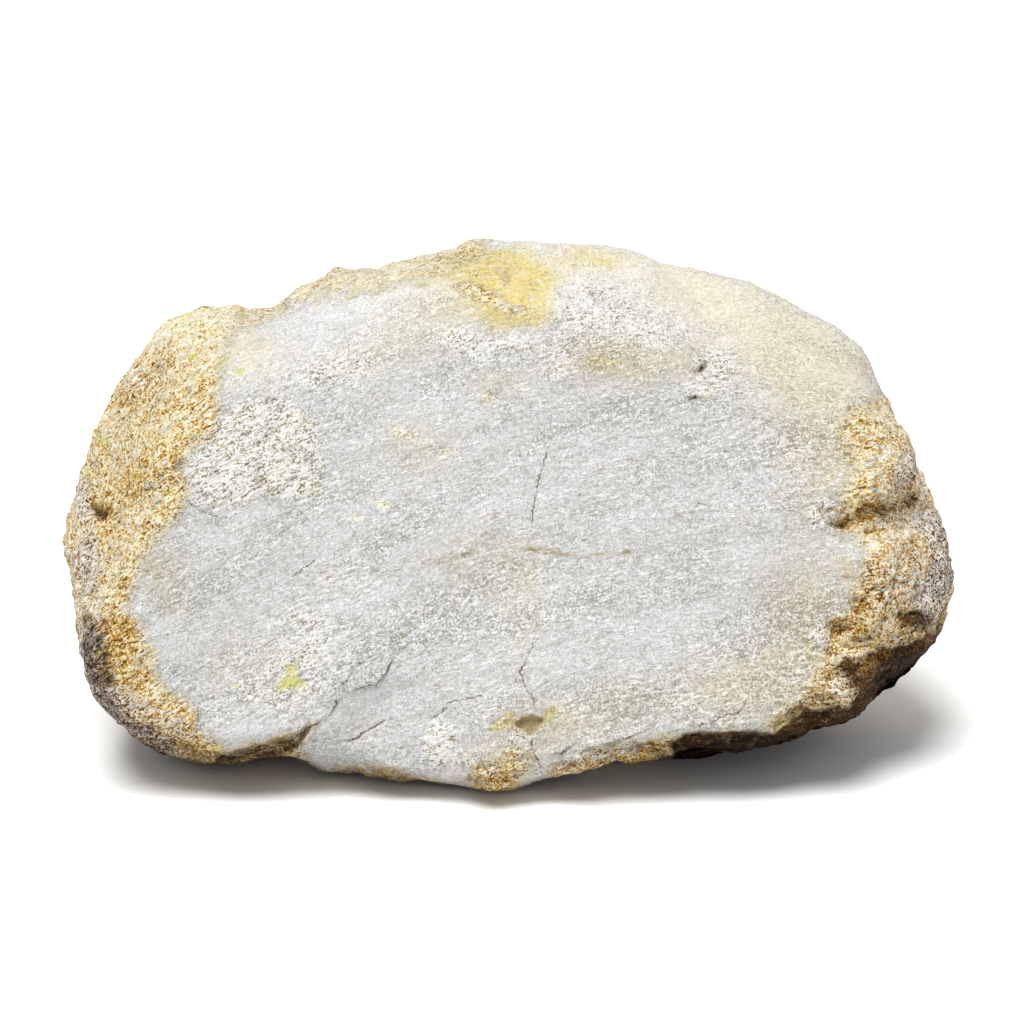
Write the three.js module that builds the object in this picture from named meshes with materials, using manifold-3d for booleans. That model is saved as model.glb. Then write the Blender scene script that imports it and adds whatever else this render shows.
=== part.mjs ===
// A rough lump of milky quartz with a broad broken face, weathered flanks and a small flat spot
// that it rests on. It grew and broke as one piece, so it is one closed solid.
//
// Frame: millimetres, +Z up. The long axis runs along X, the broad face looks towards -Y and leans
// back, and the origin is on the resting plane below the middle of the lump.
//
// The form is worked out along rays that leave the heart of the lump. A ray ends where it leaves
// the space shared by a set of flat breaks (facets) and the face's outline. The skin there is then
// raised or lowered by swells, chips, ledges, clefts, lumps and hollows.

import * as THREE from "three";
import { ImprovedNoise } from "three/addons/math/ImprovedNoise.js";
import { mergeVertices } from "three/addons/utils/BufferGeometryUtils.js";
import Module from "manifold-3d";

// Driving dimensions, in millimetres and degrees.
const HALF_LENGTH = 124;
const HALF_DEPTH = 58;
const HALF_HEIGHT = 72;
const FACE_LEAN = 18;
const HEART_HEIGHT = 62;
const EDGE_ROUNDING = 2.5;

// The weathered skin: long, middle and short swells, and the chips knocked off between them.
const SWELLS = [
  { length: 46, height: 2.6, start: 3.7 },
  { length: 24, height: 1.8, start: 11.3 },
  { length: 12, height: 1.1, start: 27.9 },
];
const CHIP_COUNT = 110;
const CHIP_SEED = 41;
const CHIP_STEP = 2.4;
const CHIP_TILT = 0.26;
const CHIP_EDGE = 9;
const CHIP_WANDER = 8;
const CHIPS_LEFT_ON_FACE = 0.22;
const RELIEF_LEFT_AT_RIM = 0.6;
const RIM_WIDTH = 8;
const LEDGE_RISE = 5;

// How far out from the heart, towards the front, the broad face's own marks and calm are complete.
const MARKS_COMPLETE_AT = 16;
const CALM_COMPLETE_AT = 32;

// How finely the form is worked out.
const MESH_DETAIL = 21;
const SEARCH_STEP = 1.5;
const SEARCH_HALVINGS = 12;
const FARTHEST_REACH = 150;
const GOLDEN_ANGLE = Math.PI * (3 - Math.sqrt(5));

// The outline of the broad face, clockwise from the left end, as [right, up] from the heart in the
// plane of the face.
const OUTLINE = [
  [-123, -11], [-124, 10], [-120, 23], [-112, 34], [-102, 46], [-97, 57], [-92, 60],
  [-79, 60], [-70, 58], [-60, 64], [-50, 69], [-38, 70], [-28, 73], [-18, 77], [0, 81],
  [14, 78], [31, 77], [46, 69], [63, 65], [82, 60], [96, 51], [101, 42], [105, 32],
  [109, 20], [115, 10], [121, -3], [126, -15], [126, -23], [117, -34], [109, -41],
  [99, -48], [93, -57], [87, -64], [74, -67], [54, -67], [37, -70], [22, -73], [10, -75],
  [-7, -74], [-21, -74], [-42, -77], [-56, -71], [-61, -66], [-70, -66], [-84, -67],
  [-98, -63], [-106, -55], [-114, -47], [-117, -35], [-119, -23],
];

// Flat breaks. turn is 0 towards -Y (the front) and 90 towards +X, tip is the angle above level,
// and reach is the distance from the heart.
const FACETS = [
  { name: "broad face", turn: 1, tip: 19, reach: 46 },
  { name: "upper left slope", turn: -37, tip: 66, reach: 74 },
  { name: "upper right slope", turn: 35, tip: 57, reach: 72 },
  { name: "left shoulder", turn: -50, tip: 42, reach: 93 },
  { name: "left flank", turn: -60, tip: 26, reach: 104 },
  { name: "right flank", turn: 58, tip: 8, reach: 108 },
  { name: "right under-flank", turn: 42, tip: -34, reach: 102 },
  { name: "left under-flank", turn: -42, tip: -36, reach: 111 },
  { name: "left toe", turn: -20, tip: -52, reach: 89 },
  { name: "toe", turn: 0, tip: -52, reach: 82 },
  { name: "right toe", turn: 22, tip: -50, reach: 87 },
  { name: "back, left of its ridge", turn: 196, tip: 2, reach: 57 },
  { name: "back, right of its ridge", turn: 165, tip: -8, reach: 56 },
  { name: "back left", turn: -130, tip: 6, reach: 99 },
  { name: "back right", turn: 126, tip: -8, reach: 103 },
  { name: "back upper", turn: 172, tip: 46, reach: 74 },
  { name: "back upper right", turn: 138, tip: 38, reach: 92 },
  { name: "back upper left", turn: -146, tip: 44, reach: 88 },
  { name: "back under", turn: 180, tip: -52, reach: 68 },
  { name: "back under left", turn: -136, tip: -40, reach: 91 },
  { name: "back under right", turn: 134, tip: -42, reach: 90 },
  { name: "crown", turn: 0, tip: 86, reach: 84 },
  { name: "left underside", turn: -90, tip: -85, reach: 66 },
  { name: "right underside", turn: 90, tip: -82, reach: 68.5 },
  { name: "underside", turn: 180, tip: -80, reach: 65 },
].map((facet) => ({ ...facet, normal: facing(facet.turn, facet.tip) }));

// Ledges, as [right, up] points on the broad face, from left to right. The stone below each line
// lies lower by drop, and comes back over the distance fade.
const LEDGES = [
  {
    name: "plate over the left toe",
    line: [[-72, -64], [-61, -60], [-52, -56], [-47, -50], [-38, -47], [-30, -34], [-26, -35]],
    drop: 4.5,
    fade: 20,
  },
  { name: "plate above it", line: [[-54, -50], [-46, -45], [-45, -42], [-39, -39]], drop: 1.6, fade: 9 },
  {
    name: "toe plate",
    line: [[-54, -64], [-44, -61], [-36, -56], [-29, -52], [-19, -51], [-12, -50]],
    drop: 2.4,
    fade: 12,
  },
  { name: "lip of the toe", line: [[-50, -70], [-42, -70], [-33, -70], [-22, -73]], drop: 5, fade: 30 },
  {
    name: "lip right of the notch",
    line: [
      [8, -67], [17, -64], [24, -58], [33, -60], [43, -57], [54, -58], [70, -60], [77, -57], [84, -50],
    ],
    drop: 5.5,
    fade: 30,
  },
  { name: "shelf by the pit", line: [[5, -48], [13, -45], [22, -41]], drop: 1.4, fade: 9 },
  { name: "seam of the face", line: [[-20, -9], [0, -8], [20, -10], [40, -9]], drop: 1.0, fade: 16 },
  { name: "edge of the grey plate", line: [[-93, 8], [-88, 4], [-80, 2]], drop: 2.4, fade: 12 },
  { name: "right shelf", line: [[58, 9], [66, 10], [73, 14]], drop: 1.4, fade: 9 },
  { name: "right flank shelf", line: [[84, 24], [92, 22], [101, 27]], drop: 1.8, fade: 10 },
];

// Clefts, as [right, up] points on the broad face.
const CLEFTS = [
  { name: "right hollow", line: [[92, -1], [101, 1], [110, 5]], width: 6.5, depth: 6 },
  { name: "lower right hollow", line: [[88, -32], [100, -33]], width: 6, depth: 4 },
  { name: "notch under the toe", line: [[5, -56], [7, -66], [9, -80]], width: 5, depth: 4.5 },
  { name: "left notch", line: [[-63, -62], [-58, -72]], width: 5, depth: 4 },
  { name: "recess right of the lumps", line: [[96, -52], [112, -44]], width: 6, depth: 5 },
];

// Round lumps and hollows. A height below zero is a hollow. The place is [right, up] on the side
// that the lump faces, seen square to the broad face.
const LUMPS = [
  { name: "right rim", side: "front", place: [117, -20], width: 17, height: 4 },
  { name: "lump below it", side: "front", place: [94, -50], width: 9, height: 3.5 },
  { name: "lump over the right hollow", side: "front", place: [102, 12], width: 9, height: 3 },
  { name: "lump under the right hollow", side: "front", place: [98, -10], width: 10, height: 3 },
  { name: "pit", side: "front", place: [4, -57], width: 5.5, height: -4 },
  { name: "left pit", side: "front", place: [-117, 2], width: 5.5, height: -3.5 },
  { name: "left toe lump", side: "front", place: [-104, -34], width: 13, height: 2.5 },
  { name: "left shoulder hollow", side: "front", place: [-97, 34], width: 13, height: -2.5 },
  { name: "chalk hollow", side: "front", place: [54, 42], width: 8, height: -2.5 },
  { name: "top left lump", side: "front", place: [-88, 54], width: 12, height: 3 },
  { name: "back boss", side: "back", place: [34, 16], width: 26, height: 7 },
  { name: "back hollow", side: "back", place: [-20, -8], width: 20, height: -6 },
  { name: "back left boss", side: "back", place: [-70, 6], width: 20, height: 6 },
  { name: "back lower boss", side: "back", place: [6, -44], width: 18, height: 5 },
  { name: "back upper hollow", side: "back", place: [58, 46], width: 16, height: -4 },
];

// Axes of the broad face.
const RIGHT = new THREE.Vector3(1, 0, 0);
const OUT = facing(0, FACE_LEAN);
const UP = new THREE.Vector3().crossVectors(OUT, RIGHT);

function facing(turnDegrees, tipDegrees) {
  const turn = THREE.MathUtils.degToRad(turnDegrees);
  const tip = THREE.MathUtils.degToRad(tipDegrees);
  return new THREE.Vector3(
    Math.sin(turn) * Math.cos(tip),
    -Math.cos(turn) * Math.cos(tip),
    Math.sin(tip),
  );
}

// A point in the axes of the broad face.
function onFace(point) {
  return { right: point.dot(RIGHT), up: point.dot(UP), out: point.dot(OUT) };
}

// Distance from the heart to the outline, by direction round the face.
const OUTLINE_BY_ANGLE = OUTLINE.map(([right, up]) => ({
  angle: Math.atan2(up, right),
  radius: Math.hypot(right, up),
})).sort((a, b) => a.angle - b.angle);

function outlineRadius(angle) {
  const ring = OUTLINE_BY_ANGLE;
  const count = ring.length;
  let next = ring.findIndex((entry) => entry.angle > angle);
  if (next < 0) next = 0;
  const previous = (next + count - 1) % count;
  const span = THREE.MathUtils.euclideanModulo(ring[next].angle - ring[previous].angle, 2 * Math.PI);
  const along = THREE.MathUtils.euclideanModulo(angle - ring[previous].angle, 2 * Math.PI) / span;
  const before = ring[(previous + count - 1) % count].radius;
  const after = ring[(next + 1) % count].radius;
  return catmullRom(before, ring[previous].radius, ring[next].radius, after, along);
}

function catmullRom(a, b, c, d, t) {
  const slopeIn = (c - a) / 2;
  const slopeOut = (d - b) / 2;
  return (
    (2 * b - 2 * c + slopeIn + slopeOut) * t ** 3 +
    (3 * c - 3 * b - 2 * slopeIn - slopeOut) * t ** 2 +
    slopeIn * t + b
  );
}

// How far a point lies inside the outline.
function insideOutline(right, up) {
  return outlineRadius(Math.atan2(up, right)) - Math.hypot(right, up);
}

// How far a point lies outside the block that the flat breaks and the outline leave.
function blockExcess(point) {
  const { right, up } = onFace(point);
  const excesses = FACETS.map(({ normal, reach }) => normal.dot(point) - reach);
  excesses.push(-insideOutline(right, up));
  const sum = excesses.reduce((total, excess) => total + Math.exp(excess / EDGE_ROUNDING), 0);
  return EDGE_ROUNDING * Math.log(sum);
}

// Where a straight search from start, a step at a time, first comes inside a form.
function firstInside(start, step, excess) {
  const outside = start.clone();
  const inside = start.clone().add(step);
  while (excess(inside) > 0) {
    outside.copy(inside);
    inside.add(step);
  }
  const middle = new THREE.Vector3();
  for (let halving = 0; halving < SEARCH_HALVINGS; halving++) {
    middle.addVectors(inside, outside).multiplyScalar(0.5);
    (excess(middle) > 0 ? outside : inside).copy(middle);
  }
  return inside;
}

// The point where the ray from the heart leaves a form.
function rayEnd(direction, excess) {
  const start = direction.clone().multiplyScalar(FARTHEST_REACH);
  return firstInside(start, direction.clone().multiplyScalar(-SEARCH_STEP), excess);
}

const noise = new ImprovedNoise();

function swell(point) {
  return SWELLS.reduce(
    (total, { length, height, start }) =>
      total + height * noise.noise(point.x / length + start, point.y / length, point.z / length),
    0,
  );
}

// Directions spread evenly over the lump, as points of a spiral on a stretched ball.
function spiralDirection(index, count) {
  const height = 1 - (2 * (index + 0.5)) / count;
  const ring = Math.sqrt(1 - height * height);
  return new THREE.Vector3(
    HALF_LENGTH * ring * Math.cos(index * GOLDEN_ANGLE),
    HALF_DEPTH * ring * Math.sin(index * GOLDEN_ANGLE),
    HALF_HEIGHT * height,
  ).normalize();
}

// Each chip owns the surface nearest to its middle, which is tilted and set in or out.
THREE.MathUtils.seededRandom(CHIP_SEED);
const spread = (amount) => amount * (2 * THREE.MathUtils.seededRandom() - 1);
const spreadVector = (amount) => new THREE.Vector3(spread(amount), spread(amount), spread(amount));
const CHIPS = Array.from({ length: CHIP_COUNT }, (_, index) => ({
  middle: rayEnd(spiralDirection(index, CHIP_COUNT), blockExcess).add(spreadVector(CHIP_WANDER)),
  tilt: spreadVector(CHIP_TILT),
  step: spread(CHIP_STEP),
}));

function chipHeight(point) {
  const offset = new THREE.Vector3();
  let nearest = { distance: Infinity, height: 0 };
  let second = nearest;
  for (const { middle, tilt, step } of CHIPS) {
    offset.subVectors(point, middle);
    const distance = offset.length();
    if (distance >= second.distance) continue;
    const chip = { distance, height: step + tilt.dot(offset) };
    if (distance < nearest.distance) {
      second = nearest;
      nearest = chip;
    } else {
      second = chip;
    }
  }
  const share = 0.5 * (1 - THREE.MathUtils.smoothstep(second.distance - nearest.distance, 0, CHIP_EDGE));
  return THREE.MathUtils.lerp(nearest.height, second.height, share);
}

// The nearest place on a line to a point of the face: its distance, whether the point lies below
// the line, and how far along the line that place is from the nearer end.
function besideLine(line, right, up) {
  let best = { distance: Infinity };
  let travelled = 0;
  for (let i = 1; i < line.length; i++) {
    const [fromRight, fromUp] = line[i - 1];
    const stepRight = line[i][0] - fromRight;
    const stepUp = line[i][1] - fromUp;
    const length = Math.hypot(stepRight, stepUp);
    const raw = ((right - fromRight) * stepRight + (up - fromUp) * stepUp) / length ** 2;
    const share = THREE.MathUtils.clamp(raw, 0, 1);
    const awayRight = right - fromRight - share * stepRight;
    const awayUp = up - fromUp - share * stepUp;
    const distance = Math.hypot(awayRight, awayUp);
    if (distance < best.distance) {
      const below = stepUp * awayRight - stepRight * awayUp > 0;
      best = { distance, below, along: travelled + share * length };
    }
    travelled += length;
  }
  const fromEnd = Math.min(best.along, travelled - best.along);
  return { distance: best.distance, below: best.below, fromEnd };
}

function ledgeHeight({ line, drop, fade }, right, up) {
  const { distance, below, fromEnd } = besideLine(line, right, up);
  if (!below) return 0;
  const edge = THREE.MathUtils.smoothstep(distance, 0, LEDGE_RISE);
  const taper = THREE.MathUtils.smoothstep(fromEnd, 0, LEDGE_RISE);
  return -drop * edge * taper * Math.exp(-distance / fade);
}

function cleftHeight({ line, width, depth }, right, up) {
  return -depth * Math.exp(-((besideLine(line, right, up).distance / width) ** 2));
}

// The middle of each lump, on the block's surface.
const LUMP_MIDDLES = LUMPS.map(({ side, place: [right, up] }) => {
  const outward = side === "front" ? 1 : -1;
  const start = new THREE.Vector3()
    .addScaledVector(RIGHT, right)
    .addScaledVector(UP, up)
    .addScaledVector(OUT, outward * FARTHEST_REACH);
  return firstInside(start, OUT.clone().multiplyScalar(-outward * SEARCH_STEP), blockExcess);
});

function lumpHeight(point) {
  return LUMPS.reduce(
    (total, { width, height }, i) =>
      total + height * Math.exp(-point.distanceToSquared(LUMP_MIDDLES[i]) / width ** 2),
    0,
  );
}

// How far the skin stands above the block at a point. It is calmest along the outline.
function relief(point) {
  const { right, up, out } = onFace(point);
  const onFront = THREE.MathUtils.smoothstep(out, 0, CALM_COMPLETE_AT);
  const rim = THREE.MathUtils.smoothstep(insideOutline(right, up), 0, RIM_WIDTH);
  let height = swell(point) + lumpHeight(point);
  height += chipHeight(point) * THREE.MathUtils.lerp(1, CHIPS_LEFT_ON_FACE, onFront);
  if (out > 0) {
    const ledges = LEDGES.reduce((total, ledge) => total + ledgeHeight(ledge, right, up), 0);
    const clefts = CLEFTS.reduce((total, cleft) => total + cleftHeight(cleft, right, up), 0);
    height += (ledges + clefts) * THREE.MathUtils.smoothstep(out, 0, MARKS_COMPLETE_AT);
  }
  return height * THREE.MathUtils.lerp(RELIEF_LEFT_AT_RIM, 1, rim);
}

function skinExcess(point) {
  return blockExcess(point) - relief(point);
}

function lumpGeometry() {
  const geometry = new THREE.IcosahedronGeometry(1, MESH_DETAIL);
  geometry.deleteAttribute("normal");
  geometry.deleteAttribute("uv");
  const merged = mergeVertices(geometry);
  const positions = merged.getAttribute("position");
  const stretch = new THREE.Vector3(HALF_LENGTH, HALF_DEPTH, HALF_HEIGHT);
  const direction = new THREE.Vector3();
  for (let i = 0; i < positions.count; i++) {
    direction.fromBufferAttribute(positions, i).multiply(stretch).normalize();
    const point = rayEnd(direction, skinExcess);
    positions.setXYZ(i, point.x, point.y, point.z + HEART_HEIGHT);
  }
  return merged;
}

// Cuts the resting spot flat at z = 0.
async function withFlatSpot(geometry) {
  const wasm = await Module();
  wasm.setup();
  const solid = (source) =>
    new wasm.Manifold(
      new wasm.Mesh({
        numProp: 3,
        vertProperties: source.getAttribute("position").array,
        triVerts: source.index.array,
      }),
    );
  const blockSize = 3 * HALF_LENGTH;
  const block = new THREE.BoxGeometry(blockSize, blockSize, blockSize).translate(0, 0, -blockSize / 2);
  block.deleteAttribute("normal");
  block.deleteAttribute("uv");
  const cut = solid(geometry).subtract(solid(mergeVertices(block))).getMesh();
  return new THREE.BufferGeometry()
    .setAttribute("position", new THREE.BufferAttribute(cut.vertProperties, 3))
    .setIndex(new THREE.BufferAttribute(cut.triVerts, 1));
}

const geometry = await withFlatSpot(lumpGeometry());
geometry.computeBoundingBox();
const middle = geometry.boundingBox.getCenter(new THREE.Vector3());
geometry.translate(-middle.x, -middle.y, 0);

const stone = new THREE.Mesh(
  geometry,
  new THREE.MeshStandardMaterial({ color: 0xd7d5d0, roughness: 0.75, metalness: 0 }),
);
stone.name = "stone";

const lump = new THREE.Group();
lump.add(stone);
export default lump;
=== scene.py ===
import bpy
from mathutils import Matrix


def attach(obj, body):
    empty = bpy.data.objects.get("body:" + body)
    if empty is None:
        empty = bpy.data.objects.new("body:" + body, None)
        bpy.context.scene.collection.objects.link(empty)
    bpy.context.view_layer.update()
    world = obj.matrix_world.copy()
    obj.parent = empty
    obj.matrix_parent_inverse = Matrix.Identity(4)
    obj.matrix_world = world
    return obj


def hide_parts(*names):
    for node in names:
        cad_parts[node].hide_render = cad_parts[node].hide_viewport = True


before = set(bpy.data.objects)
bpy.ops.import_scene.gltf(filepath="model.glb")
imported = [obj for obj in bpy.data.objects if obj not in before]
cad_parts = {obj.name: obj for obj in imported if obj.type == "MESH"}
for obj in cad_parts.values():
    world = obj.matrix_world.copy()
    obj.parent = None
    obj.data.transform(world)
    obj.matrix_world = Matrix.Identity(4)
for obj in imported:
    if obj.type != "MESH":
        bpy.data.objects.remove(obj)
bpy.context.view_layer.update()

import math

import bpy
import numpy as np
from mathutils import Vector

# The stone: one solid lump of milky quartz, broken off a vein. The broad face towards the front is
# a fresh, sugary break; the flanks, the back and the underside keep an ochre rind of iron-stained
# crust and soil. Nothing was made or joined: it split along old cracks and then weathered.
voxel = 2.4                 # spacing of the even net the stone is covered with, millimetres
heart = np.array([1.039, 0.693, 62.0])          # middle of the stone, millimetres
face_lean = math.radians(18)                    # the face leans back from upright by this
to_right = np.array([1.0, 0.0, 0.0])
to_front = np.array([0.0, -math.cos(face_lean), math.sin(face_lean)])
to_top = np.array([0.0, math.sin(face_lean), math.cos(face_lean)])

# Marks on the face are placed as the eye sees them from straight in front, on a sight screen of
# 1024 by 1024 points, where one point at the heart is 248 mm / 880. The eye is the camera's place.
screen = 1024
screen_point = 248 / 880
lens, sensor = 120, 36
aim = heart + to_top * 8 * screen_point
eye = aim + to_front * screen * screen_point * lens / sensor


def on_screen(points):
    """The sight-screen place of each point of space, in screen points right and down."""
    out = points - aim
    reach = np.linalg.norm(eye - aim)
    grow = reach / (reach - out @ to_front) / screen_point
    return np.stack([screen / 2 + out @ to_right * grow, screen / 2 - out @ to_top * grow], axis=1)


def only(thing):
    """Selects one object and makes it the active one."""
    bpy.ops.object.select_all(action="DESELECT")
    thing.select_set(True)
    bpy.context.view_layer.objects.active = thing


def read_points(mesh):
    """The places and the outward directions of a mesh's points, places in millimetres."""
    places = np.empty(len(mesh.vertices) * 3)
    outwards = np.empty(len(mesh.vertices) * 3)
    mesh.vertices.foreach_get("co", places)
    mesh.vertices.foreach_get("normal", outwards)
    return places.reshape(-1, 3) * 1000, outwards.reshape(-1, 3)


def refine(mesh, wanted, cuts):
    """Splits the chosen faces of a mesh into smaller ones."""
    bpy.ops.object.mode_set(mode="EDIT")
    bpy.ops.mesh.select_mode(type="FACE")
    bpy.ops.mesh.select_all(action="DESELECT")
    bpy.ops.object.mode_set(mode="OBJECT")
    mesh.polygons.foreach_set("select", wanted)
    bpy.ops.object.mode_set(mode="EDIT")
    bpy.ops.mesh.subdivide(number_cuts=cuts)
    bpy.ops.object.mode_set(mode="OBJECT")


only(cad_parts["stone"])
bpy.ops.object.duplicate()
stone = bpy.context.object
stone.name = stone.data.name = "quartz_stone"
bpy.ops.object.mode_set(mode="EDIT")
bpy.ops.mesh.select_all(action="SELECT")
bpy.ops.mesh.remove_doubles(threshold=0.00001)
bpy.ops.object.mode_set(mode="OBJECT")
net = stone.modifiers.new("net", "REMESH")
net.mode = "VOXEL"
net.voxel_size = voxel / 1000
bpy.ops.object.modifier_apply(modifier="net")
ease = stone.modifiers.new("ease", "SMOOTH")
ease.factor = 0.5
ease.iterations = 6
bpy.ops.object.modifier_apply(modifier="ease")

# Lines that cut or step the face, each from left to right or top to bottom on the sight screen.
# A crack is (how plainly it shows, its line); a ledge is (its drop in millimetres, its line).
cracks = [(0.45, [(545, 330), (548, 370), (552, 395), (551, 420), (549, 445)]),
          (0.95, [(549, 445), (545, 458), (540, 475), (537, 490), (533, 510), (532, 530)]),
          (0.40, [(532, 545), (534, 575), (535, 600), (535.6, 620), (535.6, 640)]),
          (0.95, [(535.6, 636), (533, 647), (527.6, 657.5), (520, 671.6), (525, 683),
                  (525.6, 688), (531, 695), (533.6, 703), (531.6, 712)]),
          (0.95, [(530, 732), (532, 747), (537, 759), (541, 767), (542, 779)]),
          (0.85, [(284, 581), (292, 577), (300, 571), (308, 566), (315, 559), (322, 557)]),
          (0.55, [(156, 636), (170, 634), (180.5, 633), (192.6, 626)]),
          (0.55, [(155, 662), (170, 663), (185, 666), (201, 667)]),
          (0.50, [(213, 678), (230.5, 673.5)]),
          (0.50, [(273.5, 607), (281, 606), (289, 602)]),
          (0.60, [(275, 722.5), (296, 720), (318, 717)]),
          (0.85, [(425, 720), (431, 719), (443, 712), (449.5, 701.7), (457.5, 701), (471, 699),
                  (480, 695), (490, 698)]),
          (0.70, [(497, 715), (505, 713.7), (511.5, 706.4), (514, 712.4)]),
          (0.80, [(689.5, 728.5), (695, 726), (711, 723), (724, 716), (738, 714), (743, 707),
                  (751, 692)]),
          (0.40, [(690, 545), (720, 544), (760, 541), (800, 546), (863, 550)]),
          (0.55, [(829, 575), (850, 578), (868, 577)]),
          (0.60, [(852, 609), (862, 602), (872, 596)]),
          (0.50, [(808, 435), (826, 437)]),
          (0.60, [(868, 421), (877, 422)]),
          (0.80, [(180.5, 490), (191, 503.5), (206, 514), (225, 517)]),
          (0.90, [(179, 385), (177, 391), (173, 398), (171, 403), (168, 409)]),
          (0.50, [(258, 349), (266, 347)])]
stained_crack = [(445, 560), (455, 557), (470, 553), (480, 549), (490, 546), (500, 547), (510, 545),
                 (520, 548), (530, 549), (540, 551), (550, 552), (562, 555), (575, 556), (588, 557),
                 (600, 555), (612, 556), (625, 553), (640, 552)]
ledges = [(0.8, [(255, 747), (267, 740), (270, 739), (294, 733), (302, 728.5), (315.5, 725),
                 (323.6, 718.4), (329, 715.8), (334, 708.4), (337, 700.4), (345, 695.7),
                 (355.7, 688.3), (370.4, 685.6), (375.8, 685.6), (381, 679), (386.5, 671),
                 (390.5, 663), (404, 648), (414.6, 640.8), (421.3, 645.5)]),
          (0.5, [(326, 692.3), (334, 689.6), (345, 681.6), (350.4, 676.3), (351.7, 669.6),
                 (362.4, 661.5), (376, 652)]),
          (0.5, [(321, 747), (339.6, 743), (350, 740.5), (357, 739), (362, 734), (374.5, 726),
                 (384, 720), (394.5, 718), (402, 712), (406.6, 705)]),
          (0.4, [(529, 692), (537, 688.3), (546, 681), (558, 679), (573, 674), (590.5, 667)]),
          (0.9, [(542, 755), (561, 752.6), (572, 746), (580, 738), (592, 730), (597, 727)]),
          (0.7, [(574.5, 751), (585, 748.6), (598.6, 746), (614.6, 740.5), (629.4, 736.5),
                 (642.8, 731), (648, 725.8), (654.8, 723), (668, 720.4)]),
          (0.6, [(577, 762), (590.5, 763), (605, 755), (614.6, 748.6), (631, 744.5)]),
          (0.5, [(232, 420), (216, 433), (198, 447), (184, 462), (181, 476), (180, 492)]),
          (0.3, [(720, 490), (743, 486), (757, 480), (770, 470)]),
          (0.25, [(686, 516), (699, 503), (710, 506), (726, 498)])]
# Ground that is broken back from the eye: (how far back in millimetres, over how many millimetres it
# falls away, how much painted shade darkens it, its outline). The cornered pit lies above the toe.
cornered_pit = [(514, 723), (523.6, 717), (531.6, 713.7), (543, 717.8), (543, 721.8), (537, 727),
                (530, 736), (523.6, 730), (517, 727)]
hollows = [(3.5, 0.9, 0.7, [(215, 753), (240, 746), (265, 742), (289, 736), (303, 728), (314, 723),
                  (306, 737), (297, 747), (280, 752), (262, 760), (240, 766), (215, 770)]),
           (2.5, 0.9, 0.0, [(322, 770), (344, 768), (363, 765.5), (376, 763), (388, 765), (400, 769),
                  (421, 776), (440, 782), (440, 795), (318, 795)]),
           (6.0, 1.2, 1.0, [(672, 740), (683, 731), (700, 728), (721, 729), (752, 731), (775, 729.5),
                  (788, 724), (797, 714), (806, 707), (818, 707), (832, 713), (845, 722), (840, 760),
                  (674, 765)]),
           (7.0, 10.0, 1.0, [(858, 706), (860, 690), (860, 672), (866, 660), (880, 655), (892, 657),
                  (905, 652), (920, 640), (934, 628), (948, 612), (965, 620), (950, 690), (880, 730),
                  (850, 720)]),
           (1.3, 0.5, 0.0, cornered_pit),
           (2.2, 1.5, 0.5, [(91, 508), (98, 505), (106, 508), (110, 516), (106, 523), (98, 521),
                  (92, 515)])]


def beside(line, seen):
    """Distance of each screen place from a line, its side (above is +), both in millimetres."""
    nearest = np.full(len(seen), 1e9)
    side = np.ones(len(seen))
    for (x0, y0), (x1, y1) in zip(line, line[1:]):
        run = np.array([x1 - x0, y1 - y0])
        off = seen - (x0, y0)
        part = np.clip(off @ run / (run @ run), 0, 1)
        gap = np.linalg.norm(off - part[:, None] * run, axis=1)
        closer = gap < nearest
        nearest = np.where(closer, gap, nearest)
        above = np.sign(off[:, 0] * run[1] - off[:, 1] * run[0])
        side = np.where(closer, above, side)
    return nearest * screen_point, side


def inside_by(outline, seen):
    """How far each screen place lies inside an outline, in millimetres; outside is negative."""
    within = np.zeros(len(seen), dtype=bool)
    for (x0, y0), (x1, y1) in zip(outline, outline[1:] + outline[:1]):
        crosses = (y0 > seen[:, 1]) != (y1 > seen[:, 1])
        where = x0 + (seen[:, 1] - y0) * (x1 - x0) / (y1 - y0 if y1 != y0 else 1e-9)
        within ^= crosses & (seen[:, 0] < where)
    gap, _ = beside(outline + outline[:1], seen)
    return np.where(within, gap, -gap)


def face_middles(mesh):
    """The middle of every face in millimetres, and how squarely it looks at the eye, 1 to -1."""
    middles = np.empty(len(mesh.polygons) * 3)
    normals = np.empty(len(mesh.polygons) * 3)
    mesh.polygons.foreach_get("center", middles)
    mesh.polygons.foreach_get("normal", normals)
    middles = middles.reshape(-1, 3) * 1000
    sight = eye - middles
    sight /= np.linalg.norm(sight, axis=1)[:, None]
    return middles, (normals.reshape(-1, 3) * sight).sum(axis=1)


# The front is split once for its grain. The ground along each line is split once more, with the
# broken right end and toe, and along cracks and ledges twice more.
busy = [[(812, 490), (850, 470), (920, 480), (955, 560), (955, 640), (860, 730), (800, 740), (780, 715),
         (830, 670), (812, 640), (840, 600), (850, 555), (812, 525)],
        [(455, 740), (540, 705), (600, 715), (670, 712), (800, 700), (800, 750), (660, 775),
         (540, 795), (455, 795)]]
edges = [outline + outline[:1] for _, _, _, outline in hollows]
steps = [line for _, line in ledges]
fine_lines = [line for _, line in cracks] + [cornered_pit + cornered_pit[:1]]
middles, facing = face_middles(stone.data)
refine(stone.data, facing > -0.03, 1)
for reach, areas, lines in ((1.0, busy, edges + steps + fine_lines),
                            (0.35, [], steps + fine_lines)):
    middles, facing = face_middles(stone.data)
    seen = on_screen(middles)
    near = np.zeros(len(middles), dtype=bool)
    for area in areas:
        near |= inside_by(area, seen) > 0
    for line in lines:
        near |= beside(line, seen)[0] < reach
    refine(stone.data, near & (facing > 0), 1)

gradients = np.random.default_rng(5).normal(size=(256, 3))
gradients /= np.linalg.norm(gradients, axis=1)[:, None]


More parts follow.
